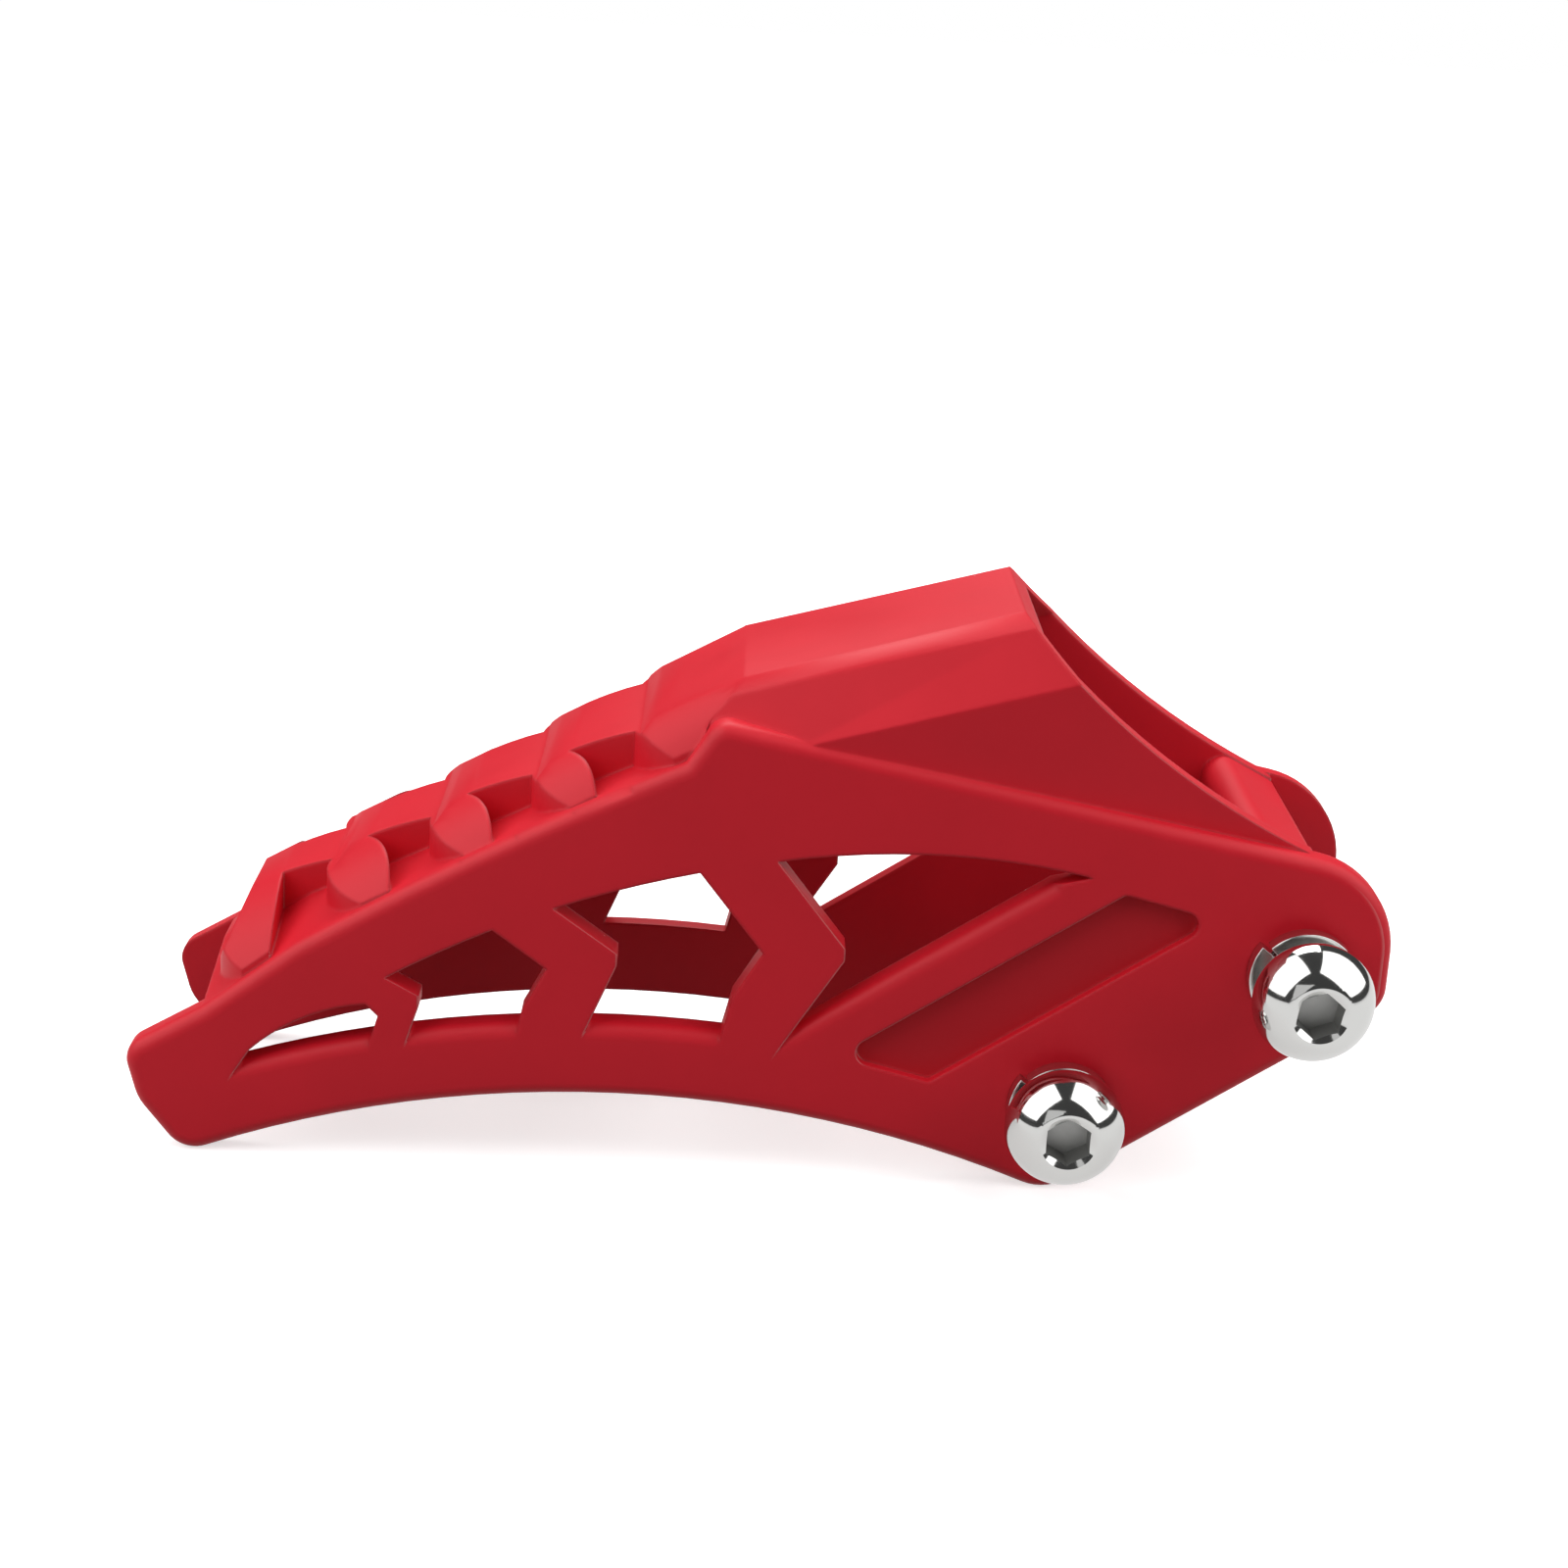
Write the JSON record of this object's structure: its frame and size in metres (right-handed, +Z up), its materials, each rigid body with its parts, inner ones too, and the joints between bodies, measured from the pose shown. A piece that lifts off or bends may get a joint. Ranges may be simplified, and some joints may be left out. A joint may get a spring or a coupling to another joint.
{
  "type": "motorcycle chain guide",
  "caption": "Moulded plastic guide that straddles a motorcycle's lower chain run, with a scaled back, a bevelled open hood, pierced cheeks and dome head bolts through its tail.",
  "frame": {"origin": "half way along the guide's length, half way between the two cheeks, at the level of the surface that the nose and heel stand on", "axes": "+X from the nose to the tail, +Y away from the bolt heads to the nuts, +Z up"},
  "size_m": [0.1472, 0.0643, 0.0688],
  "materials": {
    "guide_plastic": "moulded, satin",
    "bolt_chrome": "bright plated",
    "washer_steel": "bright plated",
    "nut_steel": "zinc plated"
  },
  "bodies": {
    "root": {"guide_body": "guide_plastic", "lower_bolt": "bolt_chrome", "upper_bolt": "bolt_chrome", "lower_spring_washer": "washer_steel", "upper_spring_washer": "washer_steel", "lower_nut": "nut_steel", "upper_nut": "nut_steel"}
  },
  "joints": []
}
